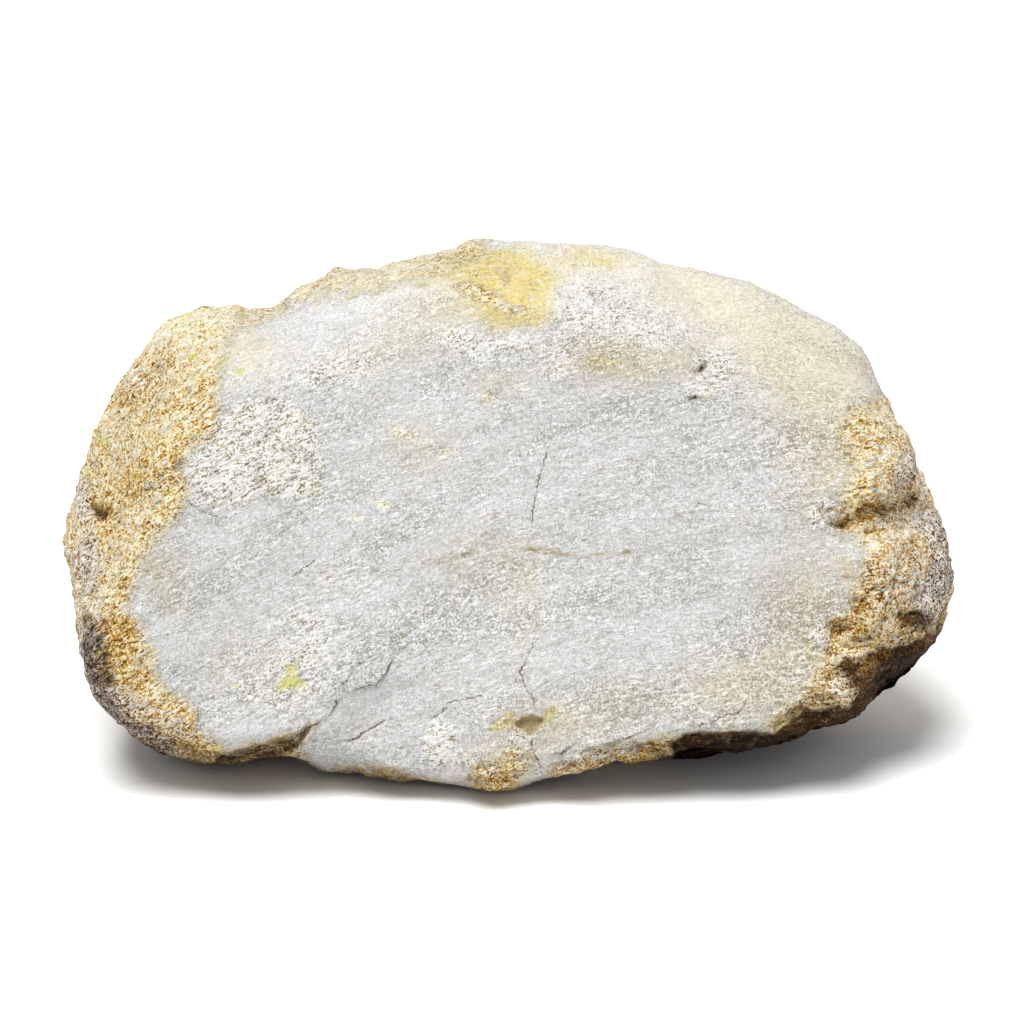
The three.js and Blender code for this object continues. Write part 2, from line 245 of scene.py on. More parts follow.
def hashed(cell, seed):
    """A repeatable whole number from 0 to 255 for each cell of a grid."""
    whole = cell.astype(np.int64)
    mixed = whole[:, 0] * 73856093 ^ whole[:, 1] * 19349663 ^ whole[:, 2] * 83492791 ^ seed * 7919
    mixed = (mixed ^ (mixed >> 15)) * 2246822519 % 4294967296
    return (mixed ^ (mixed >> 13)) & 255


def swell(points, size, seed=0):
    """Smooth noise from about -1 to 1 with lumps `size` millimetres across."""
    place = points / size + 0.37
    cell = np.floor(place)
    inside = place - cell
    eased = inside ** 3 * (inside * (inside * 6 - 15) + 10)
    total = np.zeros(len(points))
    for corner in np.ndindex(2, 2, 2):
        corner = np.array(corner)
        weight = np.prod(np.where(corner, eased, 1 - eased), axis=1)
        total += weight * (gradients[hashed(cell + corner, seed)] * (inside - corner)).sum(axis=1)
    return total * 1.7


def crumbs(points, size, seed=0):
    """Rounded grains: 1 on top of a grain, falling to 0 in the gaps between grains."""
    place = points / size
    cell = np.floor(place)
    nearest = np.full(len(points), 9.0)
    for step in np.ndindex(3, 3, 3):
        there = cell + np.array(step) - 1
        middle = there + 0.5 + 0.45 * gradients[hashed(there, seed)]
        nearest = np.minimum(nearest, ((place - middle) ** 2).sum(axis=1))
    return np.clip(1 - nearest, 0, 1)


def rise(value, low, high):
    """Goes smoothly from 0 to 1 as a value goes from low to high."""
    part = np.clip((value - low) / (high - low), 0, 1)
    return part * part * (3 - 2 * part)


def spots(seen, marks, soft=1):
    """Adds up oval marks (x, y, half width, half height, lean in degrees, how much at the middle).

    A mark fades over its outer part, `soft` of the way from its rim to its middle.
    """
    total = np.zeros(len(seen))
    for x, y, wide, high, lean, much in marks:
        turn = math.radians(lean)
        off = seen - (x, y)
        along = off[:, 0] * math.cos(turn) - off[:, 1] * math.sin(turn)
        across = off[:, 0] * math.sin(turn) + off[:, 1] * math.cos(turn)
        total += much * (1 - rise(np.hypot(along / wide, across / high), 1 - soft, 1))
    return total


points, outwards = read_points(stone.data)
sight = eye - points
sight /= np.linalg.norm(sight, axis=1)[:, None]
facing = (outwards * sight).sum(axis=1)
front = rise(facing, 0.0, 0.14)
seen = on_screen(points)
wander = np.stack([swell(points, 9, 1), swell(points, 9, 2)], axis=1) * 5
wander += np.stack([swell(points, 3, 3), swell(points, 3, 4)], axis=1) * 2.5
loose = seen + wander

# How deep in the ochre rind each place lies, in millimetres: two flanks, a thin rim along the top,
# streaks on the top slope and bands along the toe. Behind, it covers all but the upper back.
left_flank = [(258, 300), (240, 322), (224, 347), (220, 386), (215, 433), (191, 453), (179, 467),
              (192, 490), (178, 522), (156, 538), (142, 560), (136, 583), (125, 609), (136, 619),
              (148, 640), (155, 654), (153, 669), (163, 686), (180, 698), (198, 712), (198, 729),
              (222, 741), (240, 760), (240, 830), (20, 830), (20, 290), (200, 290)]
right_flank = [(925, 300), (900, 370), (884, 396), (852, 408), (840, 432), (852, 470), (835, 510),
               (836, 530), (856, 540), (864, 555), (860, 580), (848, 609), (826, 622), (824, 645),
               (822, 660), (812, 680), (795, 700), (772, 716), (760, 745), (780, 840), (1000, 840),
               (1000, 300)]
top_rim = [(225, 335), (262, 326), (290, 312), (322, 296), (350, 293), (380, 291), (420, 278),
           (452, 270), (470, 258), (490, 240), (480, 220), (300, 220), (200, 300)]
toe_bands = [[(205, 760), (222, 752), (249, 745), (270, 741), (289, 736), (303, 728), (314, 722),
              (306, 737), (297, 747), (300, 765), (240, 780), (205, 780)],
             [(296, 750), (301, 749), (307, 764), (318, 773), (344, 770), (363, 769), (376, 768),
              (388, 769), (400, 772), (421, 779), (440, 785), (440, 800), (296, 800)],
             [(472, 770), (480, 762), (492, 764), (503, 757), (516, 752), (528, 756), (530, 768),
              (520, 776), (520, 800), (470, 800)],
             [(548, 772), (566, 764), (590, 755), (612, 752), (632, 748), (652, 742), (668, 737),
              (690, 733), (752, 735), (788, 727), (806, 709), (818, 706), (860, 700), (860, 790),
              (548, 800)]]
rind = np.maximum(inside_by(left_flank, loose * 0.4 + seen * 0.6),
                  inside_by(right_flank, loose * 0.4 + seen * 0.6))
fringe = np.exp(-((rind + 2.0) / 3.5) ** 2) * (0.7 + 0.8 * swell(points, 4, 9))
for band in toe_bands:
    rind = np.maximum(rind, inside_by(band, seen + wander * 0.6) + 0.3)
rind = np.maximum(rind, 10 * np.minimum(spots(loose, [
    (478, 293, 46, 15, -14, 0.9), (506, 308, 40, 10, -8, 0.7), (505, 275, 16, 26, 10, 0.5),
    (430, 262, 60, 12, 14, 0.6)]), 0.75) - 4.5)
rind = np.maximum(rind, np.minimum(inside_by(top_rim, loose) - 0.5, 1.4))
rind = np.clip(rind, -20, 20)
hidden = 6 + 7 * swell(points, 42, 11) + swell(points, 15, 12)
hidden -= 11 * rise(points[:, 2] + 14 * swell(points, 30, 42), 88, 135)
hidden = np.where(outwards[:, 2] < -0.2, np.maximum(hidden, 6), hidden)
rind = rind + (hidden - rind) * rise(-facing, 0.0, 0.35)

# Where iron has soaked into the break and turned it gold without a crust.
gild = np.clip(spots(loose, [
    (503, 724, 22, 10, 35, 1.0), (553, 713, 22, 9, 30, 1.0), (600, 362, 56, 26, 0, 0.75),
    (850, 570, 40, 60, 0, 0.6), (820, 650, 40, 40, 0, 0.5), (870, 515, 50, 24, 0, 0.9),
    (508, 284, 96, 70, -5, 1.5), (600, 258, 70, 24, -8, 0.9), (430, 268, 80, 24, 14, 0.9),
    (520, 320, 60, 24, 0, 0.6), (350, 292, 90, 22, 16, 0.6), (225, 330, 60, 30, 0, 0.6),
    (500, 398, 30, 22, 0, 0.4), (470, 560, 60, 30, 0, 0.3), (522, 728, 60, 26, 0, 0.7),
    (610, 745, 80, 24, 12, 0.6), (860, 440, 70, 60, 0, 0.7), (790, 640, 60, 70, 0, 0.3),
    (700, 270, 120, 24, -20, 0.4), (150, 600, 40, 60, 0, 0.3)]), 0, 1)
gild = gild * front

# Where on the rind's colours each place stands, from 0 for dark brown to 1 for cream. It also carries
# painted shade in hollows and holes and on faces turned down, and painted light on faces turned up.
pale = 0.65 + 0.06 * swell(points, 30, 13) + 0.07 * swell(points, 10, 14)
pale += 0.05 * swell(points * (0.4, 1, 1), 4, 15)
# Some of these spots are painted shade: the darker ones in the hollows and holes of the right flank, in
# the cavity and crease on the left and in the recess at the lower right.
pale += rise(facing, -0.3, 0.1) * spots(loose, [
    (205, 322, 80, 36, 8, 0.20), (165, 345, 60, 40, 30, 0.08), (120, 505, 60, 50, 0, -0.04),
    (100, 513, 16, 13, 0, -0.26), (108, 625, 34, 10, -10, -0.22), (130, 650, 60, 50, 0, -0.08),
    (95, 670, 26, 60, 10, -0.20), (140, 735, 90, 26, -28, -0.16), (200, 742, 44, 12, 0, -0.18),
    (180, 400, 60, 70, 0, -0.05), (115, 590, 40, 60, 0, -0.10), (98, 612, 24, 12, 0, 0.10),
    (885, 420, 50, 60, 0, 0.16), (875, 424, 34, 7, -14, -0.30), (852, 410, 30, 6, -14, -0.24),
    (826, 436, 26, 5, -8, -0.24), (862, 440, 30, 5, -18, -0.2), (903, 478, 20, 18, 0, -0.2),
    (880, 515, 56, 20, 10, -0.12), (845, 524, 20, 10, 8, -0.46), (866, 511, 18, 9, 12, -0.40),
    (910, 500, 18, 14, 0, -0.32), (884, 508, 20, 9, 20, -0.32), (873, 532, 18, 6, 0, -0.36),
    (925, 490, 30, 30, 0, 0.12), (850, 630, 30, 18, 0, -0.14), (838, 628, 14, 12, 20, -0.16),
    (864, 639, 20, 6, 0, -0.20), (890, 660, 70, 30, 25, -0.20), (885, 560, 34, 34, 0, 0.04),
    (935, 570, 34, 70, 0, -0.04), (905, 575, 22, 22, 0, 0.10), (842, 692, 22, 24, 0, 0.12),
    (907, 621, 12, 12, 0, -0.12), (478, 293, 40, 14, -14, -0.12), (503, 308, 36, 9, -10, -0.02),
    (500, 724, 30, 14, 35, 0.10), (552, 713, 30, 12, 30, 0.10), (490, 272, 14, 12, 0, -0.10),
    (400, 272, 150, 40, 14, 0.20), (120, 650, 40, 50, 0, -0.10), (255, 750, 70, 20, 15, -0.20),
    (380, 776, 70, 12, 0, -0.20), (740, 744, 110, 24, 0, -0.38), (842, 690, 26, 28, 0, -0.24),
    (800, 700, 60, 26, 30, -0.14), (896, 676, 44, 34, 30, -0.30), (868, 664, 44, 22, 20, 0.26),
    (936, 632, 28, 22, 0, 0.20), (835, 655, 40, 22, 0, -0.12), (866, 690, 26, 26, 0, 0.14),
    (900, 700, 70, 24, 35, -0.20), (940, 565, 26, 80, 0, -0.24), (540, 262, 60, 24, 0, 0.08),
    (340, 768, 44, 10, 0, 0.30), (110, 640, 50, 60, 0, -0.22), (918, 620, 30, 22, 20, -0.45),
    (880, 575, 40, 60, 0, -0.08), (860, 500, 60, 30, 0, 0.12), (610, 760, 60, 16, 10, -0.06)])
# Painted shade on faces turned down, painted light on faces turned up.
pale -= 0.20 * rise(-outwards[:, 2], 0.25, 0.8)
pale += 0.14 * rise(outwards[:, 2], 0.2, 0.9)

# How far its gold turns to tan: the right flank and the lower rims.
tan = spots(loose, [
    (915, 590, 60, 110, 0, 0.9), (850, 690, 80, 60, 0, 0.9), (905, 480, 50, 80, 20, 0.8),
    (870, 570, 50, 70, 0, 0.6), (870, 430, 40, 40, 0, 0.3), (92, 600, 26, 90, 0, 0.9),
    (150, 720, 90, 40, -30, 0.8), (165, 350, 40, 60, 35, 0.4), (120, 440, 30, 60, 0, 0.5)])
tan = np.clip(tan, 0, 1) + (1 - front) * rise(swell(points, 50, 17), -0.5, 0.5)

# Grey-brown gritty crust on the outermost rims.
grit = rise(facing + 0.3 * swell(points, 14, 45), -0.8, 0.1) * np.clip(spots(loose, [
    (88, 560, 22, 60, 0, 0.8), (90, 660, 22, 60, -8, 1.3), (112, 706, 40, 26, -40, 1.2),
    (150, 734, 60, 16, -32, 1.1), (85, 500, 18, 34, 0, 0.9), (140, 385, 26, 60, 35, 0.3),
    (940, 565, 24, 60, 0, 1.4), (925, 600, 24, 36, 20, 0.8), (905, 470, 20, 36, -25, 0.6),
    (928, 525, 22, 26, 0, 1.1), (880, 660, 50, 20, 25, 0.3), (840, 690, 24, 24, 0, 0.3)]), 0, 1)
grit += rise(-facing, 0.0, 0.35) * rise(swell(points, 26, 16), 0.1, 0.9) * 0.5

# White crumbling quartz, powdery and full of small pits: one block on the left with an edge, and
# soft patches.
crumbly = [(186, 462), (200, 440), (222, 420), (240, 404), (262, 396), (292, 404), (314, 420), (324, 442),
           (322, 474), (314, 497), (290, 502), (262, 494), (236, 505), (212, 511), (198, 500), (187, 484)]
crumbly = rise(inside_by(crumbly, seen + wander * 1.2), -2.5, 2.5)
chalk = front * np.clip(0.9 * crumbly + spots(loose, [
    (590, 302, 50, 32, -10, 1.2), (456, 337, 34, 18, 0, 1.0), (512, 346, 36, 14, 0, 1.0),
    (660, 330, 60, 24, 0, 0.7), (556, 372, 20, 12, 0, 0.8), (560, 350, 24, 24, 0, 0.7),
    (712, 368, 40, 32, 0, 1.2), (700, 392, 26, 14, -20, 0.9), (745, 390, 40, 22, 0, 0.2),
    (610, 310, 90, 34, -8, 0.8), (660, 345, 50, 20, 0, 0.5), (470, 350, 50, 26, 0, 0.6),
    (310, 640, 60, 70, 30, 0.7), (280, 690, 70, 50, 0, 0.7), (441, 745, 26, 32, 0, 2.2),
    (470, 765, 34, 18, 0, 0.9), (822, 513, 20, 20, 0, 1.5), (874, 492, 24, 14, 0, 1.1),
    (868, 521, 22, 8, 10, 0.9), (820, 636, 14, 26, 0, 1.3), (800, 665, 30, 26, 30, 0.5),
    (700, 700, 100, 30, -6, 0.4), (610, 750, 70, 20, 12, 0.9), (150, 486, 13, 5, 30, 1.8),
    (330, 370, 100, 22, 14, 0.7), (355, 575, 60, 40, 20, 0.3), (520, 745, 22, 24, 0, 0.8),
    (842, 335, 40, 24, -35, 0.5), (200, 312, 22, 6, 0, 1.3), (905, 584, 20, 22, 0, 0.9),
    (640, 470, 60, 30, 10, 0.2), (720, 640, 80, 40, 10, 0.25), (410, 640, 60, 50, 20, 0.25),
    (180, 590, 40, 60, 10, 0.3), (780, 300, 120, 40, -26, 0.25), (500, 700, 60, 30, 10, 0.3),
    (790, 450, 90, 50, -20, 0.4)]),
    0, 1)
chalk += (1 - front) * rise(swell(points, 22, 18), 0.1, 0.7) * 0.6

# Lighter on the upper slopes and along the top: painted light from above. Elsewhere some patches of the
# break are lighter and some a little duller.
bleach_and_top_light = 0.5 * rise(outwards[:, 2], 0.45, 0.95)
bleach_and_top_light += rise(facing, -0.2, 0.1) * spots(loose, [
    (590, 302, 54, 34, -10, 0.50), (580, 256, 140, 24, -5, 0.35), (458, 337, 36, 20, 0, 0.50),
    (515, 345, 36, 16, 0, 0.40), (660, 330, 60, 26, 0, 0.30), (560, 360, 30, 30, 0, 0.30),
    (735, 395, 54, 34, 0, -0.25), (680, 290, 240, 80, -22, 0.55), (520, 290, 120, 50, 0, 0.25),
    (800, 350, 110, 60, -35, 0.1), (480, 280, 260, 60, 0, 0.30), (260, 360, 70, 40, 0, 0.30),
    (530, 610, 50, 60, 0, 0.28), (225, 325, 50, 26, 0, 0.25), (460, 620, 40, 40, 0, 0.08),
    (620, 535, 60, 40, 0, -0.18), (830, 480, 50, 40, 0, 0.20), (440, 400, 120, 40, 10, 0.05),
    (390, 300, 160, 40, 14, 0.05), (560, 280, 120, 50, 0, 0.30), (600, 320, 110, 40, -10, 0.20),
    (340, 372, 130, 34, 14, 0.38), (430, 320, 90, 30, 0, 0.22), (540, 335, 60, 40, 0, 0.20),
    (840, 340, 80, 60, -35, 0.30), (300, 650, 90, 90, 0, 0.08), (441, 747, 34, 40, 0, 0.80),
    (465, 776, 50, 12, 0, 0.60), (620, 480, 90, 60, 0, 0.05), (470, 350, 60, 30, 0, 0.22),
    (255, 450, 80, 50, 0, 0.05), (715, 370, 50, 34, 0, -0.25), (175, 590, 70, 80, 20, -0.30),
    (330, 520, 120, 50, 25, -0.04), (690, 400, 60, 20, -20, -0.10), (350, 735, 60, 20, 15, -0.08),
    (560, 410, 120, 26, 10, -0.05), (700, 600, 90, 60, 0, -0.06), (450, 600, 40, 40, 0, -0.05),
    (640, 500, 60, 30, 20, -0.06), (700, 535, 90, 36, 0, -0.22), (320, 405, 60, 20, 20, 0.12),
    (380, 440, 60, 30, 0, -0.05)])

# A warm breath of iron over broad parts of the break, without an edge.
warm = np.clip(spots(loose, [
    (640, 365, 90, 34, 0, 0.6), (500, 385, 50, 30, 0, 0.6), (700, 365, 60, 34, 0, 0.4),
    (720, 300, 240, 90, -24, 0.9), (820, 390, 130, 110, -30, 0.9), (600, 350, 110, 60, 0, 0.6),
    (390, 350, 150, 40, 12, 0.5), (480, 290, 170, 60, 10, 0.9), (240, 350, 80, 60, 0, 0.8),
    (245, 450, 100, 60, 10, 0.6), (420, 450, 70, 50, 0, 0.5), (490, 560, 90, 60, 0, 0.45),
    (520, 620, 40, 90, 0, 0.4), (160, 570, 40, 90, 20, 0.7), (530, 730, 80, 50, 0, 0.6),
    (610, 710, 120, 50, 12, 0.6), (745, 690, 110, 70, 0, 0.9), (810, 610, 80, 130, 0, 0.8),
    (830, 480, 80, 80, 0, 0.7), (240, 660, 80, 70, 0, 0.3), (500, 765, 80, 30, 0, 0.7)]), 0, 1)
warm = warm * front + 0.5 * (1 - front)

# Cream and yellow bloom on the break, in patches with an edge.
cream = 0.6 * fringe + spots(loose, [
    (600, 365, 40, 22, 0, 1.0), (397, 430, 22, 14, -20, 1.6), (420, 441, 34, 14, -25, 1.0),
    (446, 453, 26, 14, -20, 1.2), (386, 506, 22, 12, -20, 1.7), (355, 518, 18, 10, 0, 1.6),
    (316, 488, 17, 18, 0, 2.0), (300, 499, 12, 9, 0, 1.2), (250, 450, 90, 56, 10, 0.5),
    (193, 648, 16, 11, 0, 1.0), (490, 398, 16, 12, 0, 1.0), (505, 405, 14, 10, 0, 0.9),
    (390, 345, 120, 22, 12, 0.6), (470, 400, 26, 16, 0, 0.7), (500, 395, 30, 20, 0, 0.6),
    (540, 430, 10, 24, 0, 0.8), (550, 455, 8, 8, 0, 0.6), (455, 556, 30, 36, 0, 0.5),
    (500, 520, 90, 26, 0, 0.4), (522, 600, 18, 80, 0, 0.3), (215, 340, 60, 30, 0, 0.6),
    (502, 722, 22, 10, 30, 1.3), (556, 714, 22, 9, 25, 1.2), (745, 675, 70, 26, 0, 0.6),
    (735, 645, 30, 12, 0, 0.7), (806, 620, 26, 60, 0, 0.6), (620, 745, 80, 16, 12, 0.8),
    (500, 765, 50, 20, 0, 0.8), (850, 440, 60, 30, -20, 0.7), (700, 275, 160, 30, -20, 0.7),
    (630, 265, 60, 16, -8, 0.7), (700, 390, 40, 24, 0, 0.5), (780, 340, 90, 40, -25, 0.6),
    (820, 400, 60, 30, -20, 0.6), (660, 420, 14, 8, 0, 0.6), (640, 402, 12, 6, 0, 0.7),
    (470, 300, 150, 30, 12, 0.3)])
cream = np.clip(cream, 0, 1.5) * front + 0.35 * (1 - front)

# Brown-green stain that soaked in beside the cracks.
stain = spots(loose, [
    (594, 362, 30, 12, 0, 0.55), (612, 376, 26, 9, 0, 0.5), (500, 548, 60, 9, 0, 0.3),
    (590, 554, 50, 6, 0, 0.3), (447, 560, 12, 26, 0, 0.5), (480, 575, 60, 20, 0, 0.2),
    (530, 724, 20, 14, 0, 1.3), (420, 592, 24, 10, 0, 0.4), (445, 535, 8, 8, 0, 0.5),
    (640, 742, 90, 10, 10, 0.7), (560, 570, 70, 26, 0, 0.3), (276, 741, 30, 12, 15, 0.9),
    (460, 780, 70, 10, 0, 0.7), (790, 725, 40, 16, 30, 0.6), (375, 772, 60, 10, 0, 1.0),
    (740, 742, 70, 12, 0, 1.0), (855, 577, 34, 5, 0, 0.7), (862, 599, 16, 5, 20, 0.7),
    (872, 424, 36, 6, -14, 0.6), (800, 455, 40, 6, -20, 0.5), (704, 398, 12, 8, 0, 0.8)])
stain = np.clip(stain, 0, 1) * front
stain = np.maximum(stain, rise(inside_by(cornered_pit, seen), -0.3, 0.2))

# Small yellow-green lichen.
lichen = spots(loose, [
    (194, 359, 12, 8, 0, 1), (223, 361, 9, 6, 0, 1.2), (240, 373, 11, 6, 0, 1.1),
    (105, 441, 12, 14, 0, 0.8), (141, 476, 14, 10, 0, 0.8), (183, 319, 18, 12, 0, 0.8),
    (291, 674, 12, 22, 20, 1.0), (283, 688, 20, 8, 20, 0.9), (296, 684, 22, 7, 0, 0.8),
    (103, 652, 11, 8, 0, 0.9), (125, 651, 11, 8, 0, 0.9), (235, 688, 7, 7, 0, 1),
    (175, 695, 18, 8, -20, 0.7), (186, 744, 20, 8, 0, 0.8), (217, 746, 14, 6, 0, 0.7),
    (603, 258, 12, 7, 0, 0.7), (661, 299, 10, 5, 0, 0.6), (608, 398, 12, 5, 0, 0.5)])
lichen = np.clip(lichen, 0, 1) * front

# The layers of the vein climb to the right, by 30 degrees at the left end and hardly at all at the
# right end. Along them everything is drawn out three times.
right_of = points @ to_right
across = points @ to_top - 0.30 * right_of + 0.0011 * right_of ** 2
layered = np.stack([right_of / 3, across, points @ to_front], axis=1)

# Relief, in millimetres along the outward direction. The break is sugary and faintly layered; the
# rind is lumpy and pitted.
weathered = rise(rind + 2 * swell(points, 5, 21), -1.5, 2.5)
fresh = 1 - weathered

height = 0.55 * swell(points, 17, 22) + 0.28 * swell(points, 7, 23)
height += fresh * (0.40 * swell(layered, 5.5, 24) + 0.30 * swell(layered, 2.4, 25))
height += fresh * 0.2 * swell(points, 2.0, 26)
lumps = crumbs(points + 1.5 * swell(points, 6, 35)[:, None], 11, 36)
height += weathered * (0.8 * swell(points, 14, 27) + 0.5 * swell(points, 5, 28))
height += weathered * (rise(lumps, 0.15, 0.75) - 0.6)
height += weathered * 0.5 * swell(layered, 3.2, 38)
height += weathered * (0.65 * crumbs(points, 4.6, 29) + 0.5 * crumbs(points, 2.6, 30) - 0.45)
pits = weathered * rise(swell(points, 4.6, 31), 0.45, 0.9)
height -= 0.8 * pits
wavy = layered + 0.6 * swell(points, 2.5, 3)[:, None]
creased = weathered * (1 - rise(np.abs(swell(wavy, 6, 39)), 0, 0.2))
height -= 0.6 * creased
height += chalk * (0.7 * crumbs(points, 2.4, 32) - 0.7 * rise(swell(points, 2.6, 33), 0.15, 0.6))

# Darker in pits, creases and the gaps between lumps, and grey-brown earth on the left rim. The rest is
# painted shade: under the overhang and in the broken ground at the lower right, in the hollows, in holes
# of the chalky patch, and low down on the sides turned from the eye.
soil_and_painted_shade = 0.25 * pits + 0.2 * creased + 0.1 * weathered * (1 - rise(lumps, 0.15, 0.45))
soil_and_painted_shade += 0.3 * chalk * rise(swell(points, 2.6, 33), 0.3, 0.7)
not_behind = rise(facing + 0.3 * swell(points, 14, 43) + 0.1 * swell(points, 4, 44), -0.9, 0.0)
# Painted shade under the overhang and in the broken ground at the lower right, and in the holes of the
# chalky patch at the upper right; the spots on the left rim are grey-brown earth.
soil_and_painted_shade += not_behind * spots(loose, [
    (885, 690, 90, 50, 32, 1.4), (800, 708, 44, 14, 30, 0.5), (842, 674, 26, 16, 0, 0.5),
    (935, 650, 50, 34, 50, 1.0), (885, 665, 40, 22, 10, 0.8), (815, 734, 90, 26, 25, 1.8),
    (914, 618, 22, 13, 15, 0.8), (745, 756, 130, 30, 4, 1.8), (842, 690, 20, 20, 0, -0.8),
    (705, 744, 44, 14, -4, 1.5), (703, 369, 10, 5, 20, 1.0), (692, 396, 7, 4, 0, 1.0),
    (714, 379, 7, 3, 0, 0.8), (846, 668, 12, 16, 0, 0.6), (100, 660, 22, 60, 10, 0.6),
    (130, 725, 60, 20, -40, 0.4), (92, 590, 14, 50, 0, 0.10), (190, 752, 60, 12, -14, 0.4)], 0.7)
# Painted shade low down on the sides turned from the eye, near the ground.
low = rise(26 + 12 * swell(points, 24, 40) + 4 * swell(points, 7, 41) - points[:, 2], 0, 26)
soil_and_painted_shade += rise(-facing, -0.1, 0.3) * 0.9 * low
seam_and_ledge_shadow = np.zeros(len(points))
ragged = seen + wander * 0.12
ragged += np.stack([swell(points, 1.3, 5), swell(points, 1.3, 6)], axis=1) * 1.1


def ends_of(line, seen, fade):
    """Falls to 0 at the two ends of a line, over `fade` screen points."""
    first = np.hypot(*(seen - line[0]).T)
    last = np.hypot(*(seen - line[-1]).T)
    return rise(np.minimum(first, last), 0, fade)


for drop, line in ledges:
    gap, side = beside(line, ragged)
    shown = ends_of(line, seen, 24) * front * (0.3 + 0.7 * rise(swell(points, 6, 37), -0.4, 0.3))
    upper = np.exp(-gap / 9) * 0.5
    lower = -np.exp(-gap / 7) * 0.5
    height += drop * (lower + (upper - lower) * rise(gap * side, -0.1, 0.2)) * shown
    # A dark line painted along each ledge: the shadow under its lip. Along the cracks the seam is the
    # dark crack itself.
    seam_and_ledge_shadow = np.maximum(seam_and_ledge_shadow, min(0.6 + 0.5 * drop, 1) * np.exp(-(gap / 0.25) ** 2) * shown)
    stain += 0.6 * drop * shown * np.exp(-(gap / 0.6) ** 2)
for plain, line in cracks:
    gap, side = beside(line, ragged)
    groove = np.exp(-(gap / 0.17) ** 2) * ends_of(line, seen, 12) * front * plain
    height -= 0.3 * groove
    seam_and_ledge_shadow = np.maximum(seam_and_ledge_shadow, groove)
gap, side = beside(stained_crack, seen + wander * 0.25)
shown = ends_of(stained_crack, seen, 14) * front * rise(swell(points, 5, 34), -0.9, 0.3)
height += 0.5 * (rise(gap * side, -0.25, 0.25) - 0.5) * np.exp(-gap / 4) * shown
stain = np.maximum(stain, 1.2 * np.exp(-(gap / 0.6) ** 2) * shown)

# Lumps that stand out on the flanks and the toe, and small holes in them.
near = seen + wander * 0.4
near += np.stack([swell(points, 1.9, 7), swell(points, 1.9, 8)], axis=1) * 3.5
height += front * spots(near, [
    (885, 560, 34, 36, 0, 1.6), (842, 692, 18, 24, 10, 2.2), (108, 612, 26, 10, -12, 0.8),
    (149, 486, 13, 5, 30, 1.0), (441, 745, 20, 28, 0, 1.5), (868, 521, 20, 7, 10, 1.0),
    (874, 492, 26, 12, 0, 1.0), (905, 580, 18, 26, 0, 0.8), (875, 652, 16, 6, 0, 1.4),
    (907, 620, 8, 9, 0, 1.2), (850, 606, 30, 12, 15, 0.8), (935, 560, 16, 50, 0, 0.8)])
holes = front * spots(near, [
    (110, 625, 26, 6, -12, 1.2), (705, 370, 12, 5, 20, 1.2), (693, 396, 8, 5, 0, 1.2),
    (118, 405, 7, 5, 0, 1.0), (126, 421, 9, 5, 0, 1.0), (192, 379, 7, 4, 0, 0.6),
    (845, 524, 15, 8, 8, 2.6), (866, 510, 13, 7, 12, 2.4), (884, 508, 15, 7, 20, 2.6),
    (911, 499, 9, 11, -15, 2.4), (873, 532, 13, 5, 0, 2.2), (898, 529, 11, 4, 0, 1.4),
    (838, 628, 13, 12, 20, 2.2), (864, 639, 17, 5, 0, 2.2), (903, 613, 8, 6, 0, 1.6),
    (884, 586, 26, 4, 16, 1.0), (860, 600, 13, 4, 20, 1.2), (402, 746.6, 3.5, 3, 0, 1.2),
    (911, 595, 7, 6, 0, 1.2), (98, 513, 11, 8, 0, 2.2), (640, 372, 14, 5, 10, 0.5),
    (174, 396, 3.5, 12, -25, 1.0), (925, 507, 7, 5, 0, 1.8), (855, 668, 13, 5, 20, 1.4),
    (600, 748, 22, 4, 14, 1.6), (575, 762, 18, 4, 12, 1.4), (640, 746, 24, 4, 8, 1.6),
    (500, 776, 14, 4, 0, 1.2), (488, 768, 8, 5, 0, 1.0), (826, 712, 12, 5, 20, 1.6)], 0.7)
height -= holes

height *= rise(points[:, 2], -0.2, 3.0)
back = np.zeros(len(points))
for deep, soft, hollow_shade, outline in hollows:
    sunk = rise(inside_by(outline, seen + wander * 0.1 * soft ** 0.7), -0.2, soft)
    sunk = sunk * rise(facing, -0.05, 0.1)
    back = np.maximum(back, deep * sunk)
    # Painted shade in the hollow, where the lip above it shadows it.
    soil_and_painted_shade += hollow_shade * sunk
soil_and_painted_shade = np.clip(soil_and_painted_shade, 0, 1)

moved = points + outwards * height[:, None] - sight * back[:, None]
moved[:, 2] = np.maximum(moved[:, 2], 0)
stone.data.vertices.foreach_set("co", (moved / 1000).ravel())
stone.data.update()
layer_place = stone.data.attributes.new("layered", "FLOAT_VECTOR", "POINT")
layer_place.data.foreach_set("vector", layered.astype(np.float32).ravel())
marks = {"rind": rind, "pale": pale, "tan": tan, "grit": grit, "chalk": chalk, "bleach_and_top_light": bleach_and_top_light,
         "warm": warm, "gild": gild, "cream": cream, "stain": stain, "lichen": lichen,
         "soil_and_painted_shade": soil_and_painted_shade, "seam_and_ledge_shadow": seam_and_ledge_shadow}
for name, values in marks.items():
    layer = stone.data.attributes.new(name, "FLOAT", "POINT")
    layer.data.foreach_set("value", values.astype(np.float32))
only(stone)
bpy.ops.object.shade_smooth()


# Weathered milky quartz: tiny interlocked crystals that scatter light white, so the fresh break is
# pale grey, half matt, with sugary glints. The rind is limonite, an earthy iron ochre with no gloss.
def linear(code):
    """Turns an sRGB hex colour into the linear colour that a shader works in."""
    parts = [int(code[place:place + 2], 16) / 255 for place in (1, 3, 5)]
    return [part / 12.92 if part <= 0.04045 else ((part + 0.055) / 1.055) ** 2.4
            for part in parts] + [1]


quartz = bpy.data.materials.new("milky_quartz_with_ochre_rind")
quartz.use_nodes = True
shader = quartz.node_tree.nodes["Principled BSDF"]


